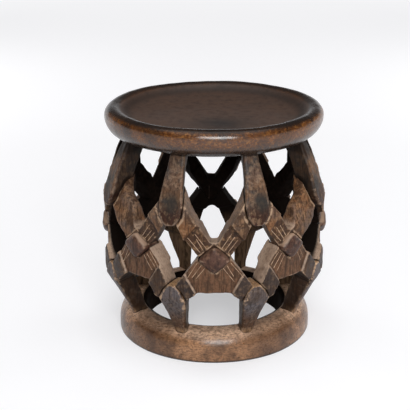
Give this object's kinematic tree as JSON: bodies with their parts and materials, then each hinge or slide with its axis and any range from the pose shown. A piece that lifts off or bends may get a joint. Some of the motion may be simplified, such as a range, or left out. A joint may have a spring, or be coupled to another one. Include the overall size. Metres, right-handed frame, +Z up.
{
  "type": "carved wooden stool",
  "caption": "Round carved wooden stool: dished seat with a rolled rim on an openwork barrel of crossed arms and petal-shaped pods, standing on an open base ring.",
  "frame": {"origin": "on the floor under the middle of the seat", "axes": "+Z up through the middle of the seat, -Y towards the front crossing, +X to the right seen from the front"},
  "size_m": [0.378, 0.3786, 0.39],
  "materials": {
    "seat_wood": "hand-rubbed dark patina, polished by use on the rim",
    "base_wood": "hand-rubbed brown patina, polished by use on the shoulder",
    "lattice_wood": "knife-finished, dull patina with worn edges",
    "pod_wood": "knife-finished, waxed patina with worn edges"
  },
  "bodies": {
    "root": {"seat": "seat_wood", "base_ring": "base_wood", "boss_1": "lattice_wood", "hanging_pod_1": "pod_wood", "foot_pod_1": "pod_wood", "upper_arm_1_left": "lattice_wood", "upper_arm_1_right": "lattice_wood", "lower_arm_1_left": "lattice_wood", "lower_arm_1_right": "lattice_wood", "boss_2": "lattice_wood", "hanging_pod_2": "pod_wood", "foot_pod_2": "pod_wood", "upper_arm_2_left": "lattice_wood", "upper_arm_2_right": "lattice_wood", "lower_arm_2_left": "lattice_wood", "lower_arm_2_right": "lattice_wood", "boss_3": "lattice_wood", "hanging_pod_3": "pod_wood", "foot_pod_3": "pod_wood", "upper_arm_3_left": "lattice_wood", "upper_arm_3_right": "lattice_wood", "lower_arm_3_left": "lattice_wood", "lower_arm_3_right": "lattice_wood", "boss_4": "lattice_wood", "hanging_pod_4": "pod_wood", "foot_pod_4": "pod_wood", "upper_arm_4_left": "lattice_wood", "upper_arm_4_right": "lattice_wood", "lower_arm_4_left": "lattice_wood", "lower_arm_4_right": "lattice_wood", "boss_5": "lattice_wood", "hanging_pod_5": "pod_wood", "foot_pod_5": "pod_wood", "upper_arm_5_left": "lattice_wood", "upper_arm_5_right": "lattice_wood", "lower_arm_5_left": "lattice_wood", "lower_arm_5_right": "lattice_wood", "boss_6": "lattice_wood", "hanging_pod_6": "pod_wood", "foot_pod_6": "pod_wood", "upper_arm_6_left": "lattice_wood", "upper_arm_6_right": "lattice_wood", "lower_arm_6_left": "lattice_wood", "lower_arm_6_right": "lattice_wood", "boss_7": "lattice_wood", "hanging_pod_7": "pod_wood", "foot_pod_7": "pod_wood", "upper_arm_7_left": "lattice_wood", "upper_arm_7_right": "lattice_wood", "lower_arm_7_left": "lattice_wood", "lower_arm_7_right": "lattice_wood", "boss_8": "lattice_wood", "hanging_pod_8": "pod_wood", "foot_pod_8": "pod_wood", "upper_arm_8_left": "lattice_wood", "upper_arm_8_right": "lattice_wood", "lower_arm_8_left": "lattice_wood", "lower_arm_8_right": "lattice_wood"}
  },
  "joints": []
}
